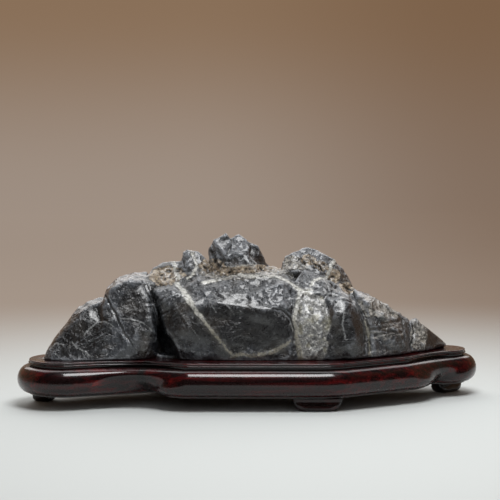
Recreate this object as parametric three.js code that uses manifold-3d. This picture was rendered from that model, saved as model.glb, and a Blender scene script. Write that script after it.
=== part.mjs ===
import * as THREE from "three";
import Module from "manifold-3d";
import { ConvexGeometry } from "three/addons/geometries/ConvexGeometry.js";
import { ImprovedNoise } from "three/addons/math/ImprovedNoise.js";
import { mergeVertices } from "three/addons/utils/BufferGeometryUtils.js";

// A dark mountain-shaped stone that rests in the carved seat of a low lacquered wooden stand.
// Millimetres. +X runs along the stone, +Z is up, and -Y is the side it is shown from.

// Heights of the stand, from the surface it rests on
const footTop = 9.7;
const plateBottom = 10;
const plateTop = 11.2;
const rollMiddle = 20.8;
const rollTop = 31.6;
const lipBottom = 33;
const standTop = 36.4;

// How far each moulding stands back from the widest line of the roll
const plateInset = 9;
const rollBottomDepth = 8.2;
const rollTopDepth = 8.4;
const quirkInset = 10.6;
const beadInset = 8.6;
const lipInset = 9.2;
const edgeRound = 0.7;
const edgeGap = 0.3;
const beadHeight = 1.2;
const rollSteps = 6;
const outlineSteps = 32;

// The seat and the foot of the stone in it
const seatFloor = 31;
const fitGap = 0.3;
const stoneFoot = seatFloor + fitGap;
const stoneUnderside = standTop + 0.5;
const stoneSkirt = stoneUnderside + 1;

// A foot from its underside up, each step as [height, share of the width, share of the depth]:
// a rounded toe, a neck and a swell where it is glued to the plate
const footDepth = 15;
const footSegments = 16;
const footSteps = [
  [0, 0.62, 0.7],
  [0.7, 0.7, 0.86],
  [2.4, 0.82, 1],
  [4.8, 0.92, 0.94],
  [7.4, 0.98, 0.8],
  [footTop, 1, 0.9],
];

// The middle of the whole plan, which becomes the origin
const planMiddle = [3.5, 1];

// The stone's skin: facet sizes, and two reliefs that push it about by up to their height
const shortestEdge = 3.5;
const closingRounds = 12;
const leastFacing = 0.6;
const longestEdge = 12.5;
const broadRelief = { size: 24, height: 3.2, seed: 3.7 };
const fineRelief = { size: 9, height: 1.5, seed: 41.3 };
const reliefShifts = [0, 19.1, 47.9];

// A box larger than the stone, used to cut it level just above the stand
const aboveBox = 500;

// Each lobe of the stand is the taut line around these circles: [x, y, radius]
const lobes = [
  [[-141, -22, 36], [-88, 4, 43]],
  [[-44, -29, 32], [-46, 22, 32], [54, -10, 52], [84, 22, 42], [112, 9.5, 38.5]],
  [[157.5, 32, 26.5], [124, 37, 26]],
];

// Webs that carry the lip across the front hollows between lobes, in the same form. Low down they
// stand further back than a lobe would, so that a notch stays under the roll.
const webs = [
  [[-94.7, -13, 32], [-49.7, -23.5, 32]],
  [[120, 3.3, 26], [144.7, 23.1, 26]],
];
const webSetback = 12;

// The line where the stone enters its seat, walked round from the left end
const seatLine = [
  [-156, -27], [-142, -36], [-116, -36], [-100, -32], [-84, -25], [-70, -17], [-56, -25], [-40, -32],
  [-6, -35], [34, -34], [66, -31], [90, -21], [112, -8], [132, 10], [157, 38], [156, 47], [124, 45],
  [70, 43], [10, 37], [-40, 31], [-84, 16], [-124, -4], [-146, -16],
];

// Feet: where each stands, and how it is turned to follow the edge above it
const feet = [
  { name: "foot_front", width: 39, x: 54, y: -48, turn: 0 },
  { name: "foot_right", width: 30, x: 161, y: 40, turn: 44 },
  { name: "foot_left", width: 20, x: -158.5, y: -3, turn: -118 },
  { name: "foot_back", width: 39, x: -62, y: 41, turn: 180 },
];

// The masses of the stone, each the taut skin over its corners: [x, y, z]
const masses = {
  toe: [
    [-158, -29, 31], [-149, -37, 31], [-112, -38, 31], [-94, -32, 31], [-90, 4, 31], [-125, -2, 31],
    [-150, -18, 31],
    [-153, -29, 43], [-146, -28, 54], [-127, -22, 71], [-112, -18, 82], [-91, -34, 47],
    [-150, -20, 49], [-144, -17, 57], [-129, -12, 74], [-122, -8, 80], [-113, -5, 83],
    [-132, 2, 64], [-115, 8, 75],
  ],
  shoulder: [
    [-118, -38, 31], [-98, -34, 31], [-80, -27, 31], [-68, -10, 31], [-70, 22, 31], [-110, 8, 31],
    [-110, -18, 86], [-106, -21, 91], [-90, -18, 96], [-78, -14, 93], [-73, -20, 79], [-69, -30, 63],
    [-109, -6, 90], [-103, -3, 94], [-94, 0, 98], [-87, 4, 101], [-77, 6, 101],
    [-106, 12, 84], [-80, 20, 92],
  ],
  slab: [
    [-50, -31, 31], [-14, -37, 31], [-5, 0, 31], [-64, 4, 31],
    [-76, -13, 90], [-70, -19, 81], [-63, -27, 67], [-55, -32, 50],
    [-64, -25, 82], [-50, -24, 87], [-44, -28, 82], [-38, -33, 71], [-13, -38, 42],
    [-74, -10, 93], [-63, -17, 89], [-50, -16, 90], [-71, 8, 91], [-48, 8, 92],
  ],
  face: [
    [-14, -38, 31], [34, -37, 31], [36, 0, 31], [-30, 0, 31],
    [-42, -31, 80], [-24, -33, 78], [-1, -34, 78], [20, -34, 75], [32, -34, 64],
    [-16, -37, 43], [32, -37, 45],
    [-48, -16, 91], [-36, -14, 94], [-5, -12, 98], [20, -12, 97], [32, -16, 92], [35, -24, 84],
    [-44, 6, 90], [30, 8, 95],
  ],
  speckled: [
    [34, -34, 31], [68, -33, 31], [80, -6, 31], [36, -2, 31],
    [34, -22, 84], [34, -31, 66], [33, -34, 48], [45, -18, 88], [68, -18, 86],
    [56, -35, 66], [58, -35, 48], [72, -33, 52], [46, 6, 88], [68, 8, 86],
  ],
  boulder: [
    [56, -34, 31], [80, -32, 31], [92, -22, 31], [94, 4, 31], [58, 2, 31],
    [63, -22, 84], [76, -22, 83], [85, -20, 78], [91, -18, 67], [93, -19, 44],
    [67, -33, 74], [79, -34, 68], [84, -34, 56], [78, -36, 45], [77, 6, 85], [91, 6, 74],
  ],
  slope: [
    [88, -22, 31], [100, -20, 31], [120, -6, 31], [132, 2, 31], [134, 38, 31], [90, 36, 31],
    [93, -12, 79], [96, -18, 64], [97, -21, 46], [83, 8, 87], [97, 4, 81], [109, 6, 75],
    [117, 10, 69], [127, 12, 61], [117, -8, 56], [125, -2, 44], [91, 34, 73], [121, 34, 57],
  ],
  tail: [
    [126, 2, 31], [138, 10, 31], [152, 24, 31], [165, 42, 31], [163, 48, 31], [146, 46, 31], [122, 40, 31],
    [129, 10, 59], [133, 16, 60], [138, 18, 57], [147, 24, 50], [159, 36, 41], [164, 43, 35],
    [131, 4, 43], [142, 14, 41], [133, 34, 54], [148, 40, 43],
  ],
  plateau: [
    [-48, -14, 91], [-36, -14, 93], [-5, -12, 97], [20, -12, 97], [41, -14, 88],
    [-33, 6, 102], [-5, 8, 104], [22, 10, 104], [36, 8, 100],
    [-45, 6, 40], [45, 6, 40], [-40, -20, 45], [40, -20, 45], [-33, 22, 99], [34, 24, 97],
  ],
  knob: [
    [-29, 2, 111], [-31, 6, 118], [-29, 8, 122], [-25, 6, 126], [-16, 9, 131], [-11, 8, 126],
    [-8, 2, 118], [-16, -2, 111], [-25, 0, 109], [-27, 22, 115], [-16, 20, 124], [-9, 22, 116],
    [-27, 6, 96], [-6, 24, 96], [-28, 22, 96],
  ],
  crown: [
    [-14, 9, 126], [-7, 12, 128], [1, 10, 126], [0, 2, 115], [-11, 2, 113], [-5, 24, 118],
    [3, -4, 109], [-14, -4, 106],
  ],
  dome: [
    [-7, 4, 115], [1, 8, 124], [8, 10, 121], [13, 12, 113], [16, 12, 106], [12, 4, 104],
    [-1, 2, 104], [-4, 26, 116], [12, 28, 106], [-8, 20, 102], [18, 26, 98],
  ],
  peakBody: [
    [-25, 2, 98], [-27, 6, 112], [-14, 3, 119], [-3, 5, 118], [8, 3, 108], [15, 6, 98], [-24, 22, 98],
    [12, 28, 98], [-10, 25, 117], [-18, -7, 97], [9, -7, 97],
  ],
  bulge: [
    [-14, 0, 113], [-5, 1, 117], [7, 2, 112], [10, -1, 107], [0, -6, 104], [-13, -5, 106], [-5, 14, 107],
    [-18, -8, 99], [8, -7, 100],
  ],
  secondPeak: [
    [29, 10, 109], [34, 12, 115], [42, 14, 118], [48, 16, 120], [54, 16, 119], [60, 16, 116],
    [67, 16, 111], [75, 16, 102], [83, 14, 88], [28, 2, 102], [39, -2, 103], [47, 3, 108],
    [61, 1, 98], [78, -5, 85], [43, 34, 109], [67, 36, 102], [83, 34, 83],
    [28, 10, 60], [86, 10, 60], [30, 30, 60], [84, 32, 60],
  ],
  pyramid: [
    [46, -4, 104], [38, -10, 94], [41, -17, 87], [66, -19, 85], [82, -15, 82], [73, -5, 92],
    [59, -3, 98], [46, 12, 100], [78, 12, 87],
  ],
  hollow: [
    [-75, -12, 93], [-63, -17, 89], [-48, -15, 90], [-44, -8, 96], [-72, 2, 102], [-64, 5, 107],
    [-52, 6, 109], [-75, 0, 100], [-72, 0, 60], [-42, 0, 60], [-70, 20, 102], [-51, 22, 103],
  ],
  fan: [
    [-52, 4, 108], [-49, 6, 114], [-44, 8, 116], [-39, 8, 116], [-33, 6, 112], [-30, 4, 110],
    [-37, -5, 102], [-42, -11, 93], [-47, -9, 95], [-32, -2, 100], [-42, 20, 109], [-31, 20, 105],
  ],
  saddle: [
    [-42, 8, 108], [-25, 6, 111], [-41, 22, 105], [-24, 22, 109], [-40, 2, 100], [-22, 0, 100],
    [-40, 6, 90], [-24, 20, 90],
  ],
  backLeft: [
    [-128, 0, 31], [-100, 14, 31], [-62, 32, 31], [-60, 0, 31], [-122, 2, 62], [-102, 12, 72],
    [-70, 27, 74], [-110, 0, 80], [-75, 14, 92], [-62, 8, 96],
  ],
  backMiddle: [
    [-66, 24, 31], [-20, 40, 31], [20, 42, 31], [22, 0, 31], [-66, 0, 31], [-58, 27, 66],
    [-18, 38, 74], [18, 38, 70], [-55, 18, 96], [-12, 29, 104], [20, 28, 98], [-50, 4, 98], [20, 4, 98],
  ],
  backButtress: [
    [-36, 34, 40], [-4, 44, 40], [-30, 36, 84], [-8, 38, 88], [-24, 24, 112], [-8, 26, 114],
    [-30, 10, 60], [-2, 10, 60],
  ],
  backRight: [
    [16, 38, 31], [70, 47, 31], [102, 48, 31], [100, 0, 31], [16, 0, 31], [22, 38, 64],
    [58, 46, 70], [96, 43, 62], [30, 34, 98], [66, 39, 94], [88, 34, 78], [30, 4, 98], [88, 4, 84],
  ],
  backTail: [
    [96, 42, 31], [136, 50, 31], [154, 46, 31], [120, 0, 31], [98, 44, 58], [124, 44, 55], [138, 44, 48],
  ],
};

// Clefts and cracks, each the taut skin over its corners: [x, y, z]
const clefts = {
  shoulderCrack: [
    [-115, -26, 90], [-112, -26, 90], [-113, -15, 86], [-92, -42, 46], [-89.5, -42, 46], [-93, -30, 46],
  ],
  cave: [
    [-76, -42, 30], [-46, -42, 30], [-52, -42, 54], [-70, -42, 54], [-68, -14, 30], [-54, -14, 30],
    [-62, -16, 48],
  ],
  crevice: [
    [-78, -26, 95], [-74, -26, 95], [-76, -8, 92], [-72, -40, 52], [-56, -40, 52], [-66, -22, 50],
  ],
  boulderCleft: [
    [92, -30, 84], [95, -30, 84], [93, -14, 78], [92, -34, 34], [98, -34, 34], [94, -14, 36],
  ],
  speckledSeam: [
    [54, -42, 86], [57, -42, 86], [56, -28, 80], [58, -42, 60], [61, -42, 60], [60, -32, 62],
  ],
  slopeCrack: [
    [116, -14, 68], [118, -14, 68], [117, 2, 64], [123, -18, 42], [125, -18, 42], [124, -4, 42],
  ],
  tailCrack: [
    [127, -10, 66], [130, -10, 66], [128, 10, 62], [128, -14, 36], [131, -14, 36], [129, 2, 36],
  ],
  peakNotch: [
    [-10, -12, 129], [-7, -12, 130], [-9, 1, 124], [-12, -12, 112], [-10, -12, 110], [-11, -2, 112],
  ],
  secondPeakSlit: [
    [73, -20, 94], [77, -20, 93], [76, 0, 90], [78, -22, 84], [82, -22, 83], [80, -8, 84],
  ],
  backGully: [
    [-62, 44, 90], [-52, 44, 92], [-57, 20, 88], [-64, 48, 40], [-50, 48, 40], [-57, 28, 40],
  ],
  backStep: [
    [20, 52, 76], [24, 52, 58], [60, 56, 78], [66, 56, 62], [30, 37, 70], [58, 41, 72],
  ],
  backPit: [
    [-12, 48, 66], [4, 48, 68], [-10, 50, 52], [6, 50, 52], [-4, 32, 60],
  ],
};

const wasm = await Module();
wasm.setup();

function toSolid(geometry) {
  const bare = geometry.clone();
  for (const name of Object.keys(bare.attributes)) {
    if (name !== "position") bare.deleteAttribute(name);
  }
  const merged = mergeVertices(bare, 1e-4);
  const vertProperties = new Float32Array(merged.attributes.position.array);
  const triVerts = new Uint32Array(merged.index.array);
  return new wasm.Manifold(new wasm.Mesh({ numProp: 3, vertProperties, triVerts }));
}

function toGeometry(solid) {
  const { vertProperties, triVerts } = solid.getMesh();
  const geometry = new THREE.BufferGeometry();
  geometry.setAttribute("position", new THREE.BufferAttribute(vertProperties, 3));
  geometry.setIndex(new THREE.BufferAttribute(triVerts, 1));
  return geometry;
}

function joined(solids) {
  return solids.reduce((whole, piece) => whole.add(piece));
}

function tautSkin(corners) {
  return toSolid(new ConvexGeometry(corners.map((corner) => new THREE.Vector3(...corner))));
}

// A closed solid through rings of equal length, listed from the lowest to the highest
function loft(rings) {
  const count = rings[0].length;
  const points = rings.flat();
  const last = (rings.length - 1) * count;
  const index = [];
  for (let ring = 0; ring < rings.length - 1; ring++) {
    for (let i = 0; i < count; i++) {
      const a = ring * count + i;
      const b = ring * count + ((i + 1) % count);
      index.push(a, b, b + count, a, b + count, a + count);
    }
  }
  const flat = rings[0].map((point) => new THREE.Vector2(point[0], point[1]));
  for (const [a, b, c] of THREE.ShapeUtils.triangulateShape(flat, [])) {
    index.push(c, b, a, last + a, last + b, last + c);
  }
  const geometry = new THREE.BufferGeometry();
  geometry.setAttribute("position", new THREE.Float32BufferAttribute(points.flat(), 3));
  geometry.setIndex(index);
  return geometry;
}

// Height and inset of each step of the stand's edge, from the plate up to the lip
function edgeProfile() {
  const steps = [[plateBottom, plateInset], [plateTop - edgeGap, plateInset]];
  for (let i = 0; i <= rollSteps; i++) {
    const angle = (i / rollSteps - 0.5) * Math.PI;
    const half = angle < 0 ? rollMiddle - plateTop : rollTop - rollMiddle;
    const depth = angle < 0 ? rollBottomDepth : rollTopDepth;
    steps.push([rollMiddle + half * Math.sin(angle), depth * (1 - Math.cos(angle))]);
  }
  steps.push([rollTop + edgeGap, quirkInset]);
  steps.push([lipBottom, quirkInset]);
  steps.push([lipBottom + edgeGap, beadInset + edgeGap]);
  steps.push([lipBottom + beadHeight / 2, beadInset]);
  steps.push([lipBottom + beadHeight, lipInset]);
  steps.push([standTop - edgeRound, lipInset]);
  steps.push([standTop, lipInset + edgeRound]);
  return steps;
}

// The taut line around a lobe's circles, as the circle touched in each direction
function lobeTouches(circles) {
  const touches = [];
  for (let i = 0; i < outlineSteps; i++) {
    const angle = (i / outlineSteps) * 2 * Math.PI;
    const [dx, dy] = [Math.cos(angle), Math.sin(angle)];
    const reach = (circle) => circle[0] * dx + circle[1] * dy + circle[2];
    const farthest = circles.reduce((best, circle) => (reach(circle) > reach(best) ? circle : best));
    touches.push({ farthest, dx, dy });
  }
  return touches;
}

function lobeSolid(circles, profile) {
  const touches = lobeTouches(circles);
  const ringAt = ([height, inset]) => touches.map(({ farthest: [x, y, radius], dx, dy }) => [
    x + dx * (radius - inset),
    y + dy * (radius - inset),
    height,
  ]);
  return toSolid(loft(profile.map(ringAt)));
}

function webProfile() {
  return edgeProfile().map(([height, inset]) => {
    const below = Math.max(0, (rollTop - height) / (rollTop - plateBottom));
    return [height, inset + webSetback * below];
  });
}

// The seat line as a smooth closed curve, grown outwards by a gap
function seatPrism(gap, low, high) {
  const corners = seatLine.map(([x, y]) => new THREE.Vector3(x, y, 0));
  const curve = new THREE.CatmullRomCurve3(corners, true, "centripetal");
  const count = seatLine.length * 2;
  const outline = [];
  for (let i = 0; i < count; i++) {
    const point = curve.getPoint(i / count);
    const along = curve.getTangent(i / count);
    outline.push([point.x + along.y * gap, point.y - along.x * gap]);
  }
  return toSolid(loft([low, high].map((height) => outline.map(([x, y]) => [x, y, height]))));
}

function standGeometry() {
  const body = joined([
    ...lobes.map((circles) => lobeSolid(circles, edgeProfile())),
    ...webs.map((circles) => lobeSolid(circles, webProfile())),
  ]);
  return toGeometry(body.subtract(seatPrism(fitGap, seatFloor, stoneSkirt)));
}

function footGeometry(width) {
  const rounded = (value) => Math.sign(value) * Math.sqrt(Math.abs(value));
  const rings = footSteps.map(([height, wide, deep]) => {
    const ring = [];
    for (let i = 0; i < footSegments; i++) {
      const angle = ((i + 0.5) / footSegments) * 2 * Math.PI;
      const x = (width / 2) * wide * rounded(Math.cos(angle));
      const y = (footDepth / 2) * deep * rounded(Math.sin(angle));
      ring.push([x, y, height]);
    }
    return ring;
  });
  return loft(rings);
}

// Whether a triangle would turn over if the ends of an edge met at its middle
function wouldFold(fan, a, b, points) {
  const middle = points[a].clone().lerp(points[b], 0.5);
  const facing = ([p, q, r]) => q.clone().sub(p).cross(r.clone().sub(p)).normalize();
  return fan.some((triangle) => {
    if (triangle.includes(a) && triangle.includes(b)) return false;
    const before = triangle.map((corner) => points[corner]);
    const after = triangle.map((corner) => (corner === a || corner === b ? middle : points[corner]));
    return facing(before).dot(facing(after)) < leastFacing;
  });
}

// Pulls the ends of each short edge together, where the skin stays whole
function closeShortEdges(geometry, limit) {
  const points = [];
  const position = geometry.attributes.position;
  for (let i = 0; i < position.count; i++) points.push(new THREE.Vector3().fromBufferAttribute(position, i));
  let triangles = [];
  for (let i = 0; i < geometry.index.count; i += 3) {
    triangles.push([0, 1, 2].map((corner) => geometry.index.getX(i + corner)));
  }
  for (let round = 0; round < closingRounds; round++) {
    const around = points.map(() => new Set());
    const fans = points.map(() => []);
    for (const triangle of triangles) {
      for (const corner of triangle) {
        triangle.forEach((other) => other !== corner && around[corner].add(other));
        fans[corner].push(triangle);
      }
    }
    const touched = new Set();
    const movedTo = new Map();
    for (const [a, b] of triangles.flatMap(([a, b, c]) => [[a, b], [b, c], [c, a]])) {
      if (a > b || points[a].distanceTo(points[b]) > limit) continue;
      const neighbours = [...around[a]].filter((other) => around[b].has(other));
      const nearby = [a, b, ...around[a], ...around[b]];
      if (neighbours.length !== 2 || nearby.some((other) => touched.has(other))) continue;
      if (wouldFold([...fans[a], ...fans[b]], a, b, points)) continue;
      nearby.forEach((other) => touched.add(other));
      movedTo.set(b, a);
      points[a].lerp(points[b], 0.5);
    }
    if (movedTo.size === 0) break;
    triangles = triangles
      .map((triangle) => triangle.map((corner) => movedTo.get(corner) ?? corner))
      .filter(([a, b, c]) => a !== b && b !== c && c !== a);
  }
  return { points, triangles };
}

// Halves each triangle's longest edge, together with its neighbour, until none is over the limit
function splitLongEdges({ points, triangles }, limit) {
  const key = (a, b) => (a < b ? `${a}_${b}` : `${b}_${a}`);
  const edgeLength = (triangle, side) => points[triangle[side]].distanceTo(points[triangle[(side + 1) % 3]]);
  for (;;) {
    const middles = new Map();
    for (const triangle of triangles) {
      const lengths = [0, 1, 2].map((side) => edgeLength(triangle, side));
      const longest = lengths.indexOf(Math.max(...lengths));
      const name = key(triangle[longest], triangle[(longest + 1) % 3]);
      if (lengths[longest] <= limit || middles.has(name)) continue;
      middles.set(name, points.length);
      points.push(points[triangle[longest]].clone().lerp(points[triangle[(longest + 1) % 3]], 0.5));
    }
    if (middles.size === 0) break;
    triangles = triangles.flatMap((triangle) => splitTriangle(triangle, middles, key));
  }
  return { points, triangles };
}

function splitTriangle(triangle, middles, key) {
  for (let side = 0; side < 3; side++) {
    const [a, b, c] = [0, 1, 2].map((step) => triangle[(side + step) % 3]);
    const middle = middles.get(key(a, b));
    if (middle === undefined) continue;
    return [...splitTriangle([a, middle, c], middles, key), ...splitTriangle([middle, b, c], middles, key)];
  }
  return [triangle];
}

const noise = new ImprovedNoise();

function relief(point, { size, height, seed }) {
  const [x, y, z] = [point.x / size, point.y / size, point.z / size];
  const along = (shift) => height * noise.noise(x + seed + shift, y + shift, z - shift);
  return new THREE.Vector3(...reliefShifts.map(along));
}

function roughened({ points, triangles }) {
  const moved = points.map((point) => {
    const shift = relief(point, broadRelief).add(relief(point, fineRelief));
    return point.clone().add(shift).toArray();
  });
  const geometry = new THREE.BufferGeometry();
  geometry.setAttribute("position", new THREE.Float32BufferAttribute(moved.flat(), 3));
  geometry.setIndex(triangles.flat());
  return geometry;
}

function stoneGeometry() {
  const clefted = Object.values(clefts).map(tautSkin).reduce(
    (rock, cleft) => rock.subtract(cleft),
    joined(Object.values(masses).map(tautSkin)),
  );
  const evened = splitLongEdges(closeShortEdges(toGeometry(clefted), shortestEdge), longestEdge);
  const rock = toSolid(roughened(evened));
  const above = new THREE.BoxGeometry(aboveBox, aboveBox, aboveBox);
  above.translate(0, 0, stoneUnderside + aboveBox / 2);
  const whole = rock.intersect(toSolid(above)).add(seatPrism(0, stoneFoot, stoneSkirt));
  const largest = whole.decompose().reduce((best, piece) => (piece.volume() > best.volume() ? piece : best));
  return toGeometry(largest);
}

function stoneMaterial() {
  return new THREE.MeshStandardMaterial({ color: 0x46474a, roughness: 0.5, metalness: 0 });
}

function lacquerMaterial() {
  return new THREE.MeshStandardMaterial({ color: 0x2a0d10, roughness: 0.25, metalness: 0 });
}

function namedMesh(name, geometry, material) {
  const mesh = new THREE.Mesh(geometry, material);
  mesh.name = name;
  return mesh;
}

const rockOnStand = new THREE.Group();
rockOnStand.add(namedMesh("stone", stoneGeometry(), stoneMaterial()));
rockOnStand.add(namedMesh("stand", standGeometry(), lacquerMaterial()));
rockOnStand.position.set(-planMiddle[0], -planMiddle[1], 0);
for (const { name, width, x, y, turn } of feet) {
  const foot = namedMesh(name, footGeometry(width), lacquerMaterial());
  foot.position.set(x, y, 0);
  foot.rotation.z = THREE.MathUtils.degToRad(turn);
  rockOnStand.add(foot);
}

export default rockOnStand;
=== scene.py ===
import itertools
import math

import bpy
import numpy as np
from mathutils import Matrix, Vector
from mathutils.bvhtree import BVHTree
from mathutils.geometry import tessellate_polygon
from mathutils.kdtree import KDTree


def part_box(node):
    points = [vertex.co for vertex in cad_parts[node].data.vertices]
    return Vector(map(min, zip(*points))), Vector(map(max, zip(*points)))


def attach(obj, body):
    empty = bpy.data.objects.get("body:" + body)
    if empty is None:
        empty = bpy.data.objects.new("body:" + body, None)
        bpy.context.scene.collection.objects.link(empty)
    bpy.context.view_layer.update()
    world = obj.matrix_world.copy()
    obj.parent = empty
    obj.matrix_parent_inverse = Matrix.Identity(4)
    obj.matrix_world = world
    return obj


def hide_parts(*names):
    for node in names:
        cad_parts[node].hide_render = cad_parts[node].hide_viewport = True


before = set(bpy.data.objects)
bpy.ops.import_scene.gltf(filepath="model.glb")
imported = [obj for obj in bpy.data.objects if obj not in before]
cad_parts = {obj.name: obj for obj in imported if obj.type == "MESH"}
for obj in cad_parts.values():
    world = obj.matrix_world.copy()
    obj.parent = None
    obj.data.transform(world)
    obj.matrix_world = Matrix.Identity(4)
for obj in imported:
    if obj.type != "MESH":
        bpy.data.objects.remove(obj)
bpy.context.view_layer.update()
mm = 0.001


def screenColour(red, green, blue):
    # a colour as a picture shows it, turned into the light values that a shader takes
    return [((c / 255 + 0.055) / 1.055) ** 2.4 for c in (red, green, blue)] + [1.0]


def smoothStep(low, high, value):
    share = np.clip((value - low) / (high - low), 0, 1)
    return share * share * (3 - 2 * share)


# Node helpers

def setInputs(node, inputs):
    # sockets are linked, plain values are set on the node's own sockets
    for key, value in inputs.items():
        if isinstance(value, bpy.types.NodeSocket):
            node.id_data.links.new(value, node.inputs[key])
        else:
            node.inputs[key].default_value = value


def addNode(tree, kind, inputs=None, **settings):
    node = tree.nodes.new("ShaderNode" + kind)
    for name, value in settings.items():
        setattr(node, name, value)
    setInputs(node, inputs or {})
    return node


def mathNode(operation, first, second=0.0, clamp=False):
    # in the node tree that a socket among its two values is in
    socket = first if isinstance(first, bpy.types.NodeSocket) else second
    inputs = {0: first, 1: second}
    return addNode(socket.id_data, "Math", inputs, operation=operation, use_clamp=clamp).outputs[0]


def plus(first, second):
    return mathNode("ADD", first, second)


def minus(first, second):
    return mathNode("SUBTRACT", first, second)


def times(first, second):
    return mathNode("MULTIPLY", first, second)


def ramp(value, low, high, outLow=0.0, outHigh=1.0):
    inputs = {"Value": value, "From Min": low, "From Max": high, "To Min": outLow, "To Max": outHigh}
    return addNode(value.id_data, "MapRange", inputs, interpolation_type="SMOOTHSTEP").outputs["Result"]


def mixColour(factor, first, second):
    inputs = {0: factor, 6: first, 7: second}
    return addNode(factor.id_data, "Mix", inputs, data_type="RGBA").outputs[2]


def noiseValue(place, size, detail=3.0, roughness=0.5, distortion=0.0):
    # size is the width of one lump of the noise in mm, as a number or a socket
    socket = isinstance(size, bpy.types.NodeSocket)
    scale = mathNode("DIVIDE", 1000.0, size) if socket else 1 / (size * mm)
    inputs = {"Vector": place, "Scale": scale, "Detail": detail, "Roughness": roughness,
              "Distortion": distortion}
    return addNode(place.id_data, "TexNoise", inputs).outputs["Fac"]


def mapped(place, scale, turn=(0, 0, 0)):
    inputs = {"Vector": place, "Rotation": turn, "Scale": scale}
    return addNode(place.id_data, "Mapping", inputs).outputs[0]


def attribute(tree, name):
    return addNode(tree, "Attribute", attribute_name=name).outputs["Fac"]


def newGroup(name, inputs, outputs):
    group = bpy.data.node_groups.new(name, "ShaderNodeTree")
    for title, kind, value in inputs:
        socket = group.interface.new_socket(title, in_out="INPUT", socket_type="NodeSocket" + kind)
        if value is not None:
            socket.default_value = value
    for title, kind in outputs:
        group.interface.new_socket(title, in_out="OUTPUT", socket_type="NodeSocket" + kind)
    start = group.nodes.new("NodeGroupInput")
    return group, start.outputs, group.nodes.new("NodeGroupOutput")


def placeGroup(tree, group, inputs):
    return addNode(tree, "Group", inputs, node_tree=group).outputs


def newMaterial(name):
    material = bpy.data.materials.new(name)
    material.use_nodes = True
    tree = material.node_tree
    return material, tree, tree.nodes["Principled BSDF"]


# Mesh helpers

def intoScene(made):
    bpy.context.scene.collection.objects.link(made)
    return made


def meshObject(name, points, faces):
    mesh = bpy.data.meshes.new(name)
    mesh.from_pydata([tuple(p) for p in points], [], faces)
    mesh.validate()
    mesh.update()
    mesh.shade_smooth()
    return intoScene(bpy.data.objects.new(name, mesh))


def ringFaces(rings, n, start=0):
    # four-sided faces between rings of n points, one above another
    return [(a + j, a + (j + 1) % n, a + n + (j + 1) % n, a + n + j)
            for a in range(start, start + (rings - 1) * n, n) for j in range(n)]


def storeValues(mesh, name, values):
    layer = mesh.attributes.new(name, "FLOAT", "POINT")
    layer.data.foreach_set("value", values.astype(np.float32))


def readPoints(mesh):
    flat = np.zeros(len(mesh.vertices) * 3, np.float32)
    mesh.vertices.foreach_get("co", flat)
    return flat.reshape(-1, 3).astype(float)


def movePoints(mesh, points):
    # puts the mesh's points there, in mm, and gives its normals
    mesh.vertices.foreach_set("co", (points * mm).astype(np.float32).ravel())
    mesh.update()
    flat = np.zeros(len(points) * 3, np.float32)
    mesh.vertex_normals.foreach_get("vector", flat)
    return flat.reshape(-1, 3).astype(float)


# Noise worked out at the mesh's own points

def cellRandom(cell, seed, channel):
    value = (cell[:, 0] * 73856093) ^ (cell[:, 1] * 19349663) ^ (cell[:, 2] * 83492791)
    value = (value ^ (seed * 8191 + channel * 131071)) & 0xFFFFFFFF
    for _ in range(2):
        value = ((value ^ (value >> 16)) * 0x45D9F3B) & 0xFFFFFFFF
    return (value ^ (value >> 16)) / 0xFFFFFFFF


def softNoise(points, size, seed):
    # gradient noise, about -0.6 to 0.6, with lumps of that size
    scaled = points / size + seed * 7.31
    cell = np.floor(scaled).astype(np.int64)
    part = scaled - cell
    ease = part ** 3 * (part * (part * 6 - 15) + 10)
    total = np.zeros(len(points))
    for corner in itertools.product((0, 1), repeat=3):
        near = cell + np.array(corner)
        slope = np.stack([cellRandom(near, seed, c) for c in range(3)], 1) * 2 - 1
        weight = np.prod(np.where(np.array(corner) == 1, ease, 1 - ease), axis=1)
        total += weight * ((part - np.array(corner)) * slope).sum(1)
    return total


def layeredNoise(points, size, seed, layers=3):
    return sum(softNoise(points, size / 2 ** k, seed + k) / 2 ** k for k in range(layers))


def ridgeNoise(points, size, seed):
    return 1 - np.abs(softNoise(points, size, seed)) * 3


def nearCells(points, size, seed):
    # each cell round the points, with the way from a point strewn in that cell
    scaled = points / size
    cell = np.floor(scaled).astype(np.int64)
    for step in itertools.product((-1, 0, 1), repeat=3):
        near = cell + np.array(step)
        yield near, scaled - (near + np.stack([cellRandom(near, seed, c) for c in range(3)], 1))


def scallops(points, size, seed):
    # shallow hollows that meet in sharp ridges, as on knapped stone, about -0.3 to 0.4
    nearest = np.full(len(points), 9.0)
    for near, away in nearCells(points, size, seed):
        lift = cellRandom(near, seed, 3) * 0.2
        nearest = np.minimum(nearest, (away ** 2).sum(1) + lift)
    return nearest - 0.35


def pits(points, size, seed):
    # 1 in the middle of each small round pit, 0 outside them
    nearest = np.full(len(points), 9.0)
    for near, away in nearCells(points, size, seed):
        wide = 0.5 + cellRandom(near, seed, 3)
        wide = np.where(cellRandom(near, seed, 4) < 0.5, wide, 0.01)
        nearest = np.minimum(nearest, np.linalg.norm(away, axis=1) / wide)
    return 1 - smoothStep(0.1, 0.5, nearest)


# Camera

cameraLook = {
    "place": (-0.755, -1486.341, 257.986),  # mm from the middle of the stand's footprint
    "lookDown": 5.3776,                     # degrees below the horizon
    "lens": 137.664,
}
cameraData = bpy.data.cameras.new("camera")
cameraData.lens = cameraLook["lens"]
cameraData.sensor_width = 36
camera = intoScene(bpy.data.objects.new("camera", cameraData))
camera.location = Vector(cameraLook["place"]) * mm
camera.rotation_euler = (math.radians(90 - cameraLook["lookDown"]), 0, 0)
bpy.context.scene.camera = camera

# Pale floor that turns up all round into a plain backdrop, which falls off from pale to a warm dusk: far out
# it glows with painted light, darker higher up and to the right

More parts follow.
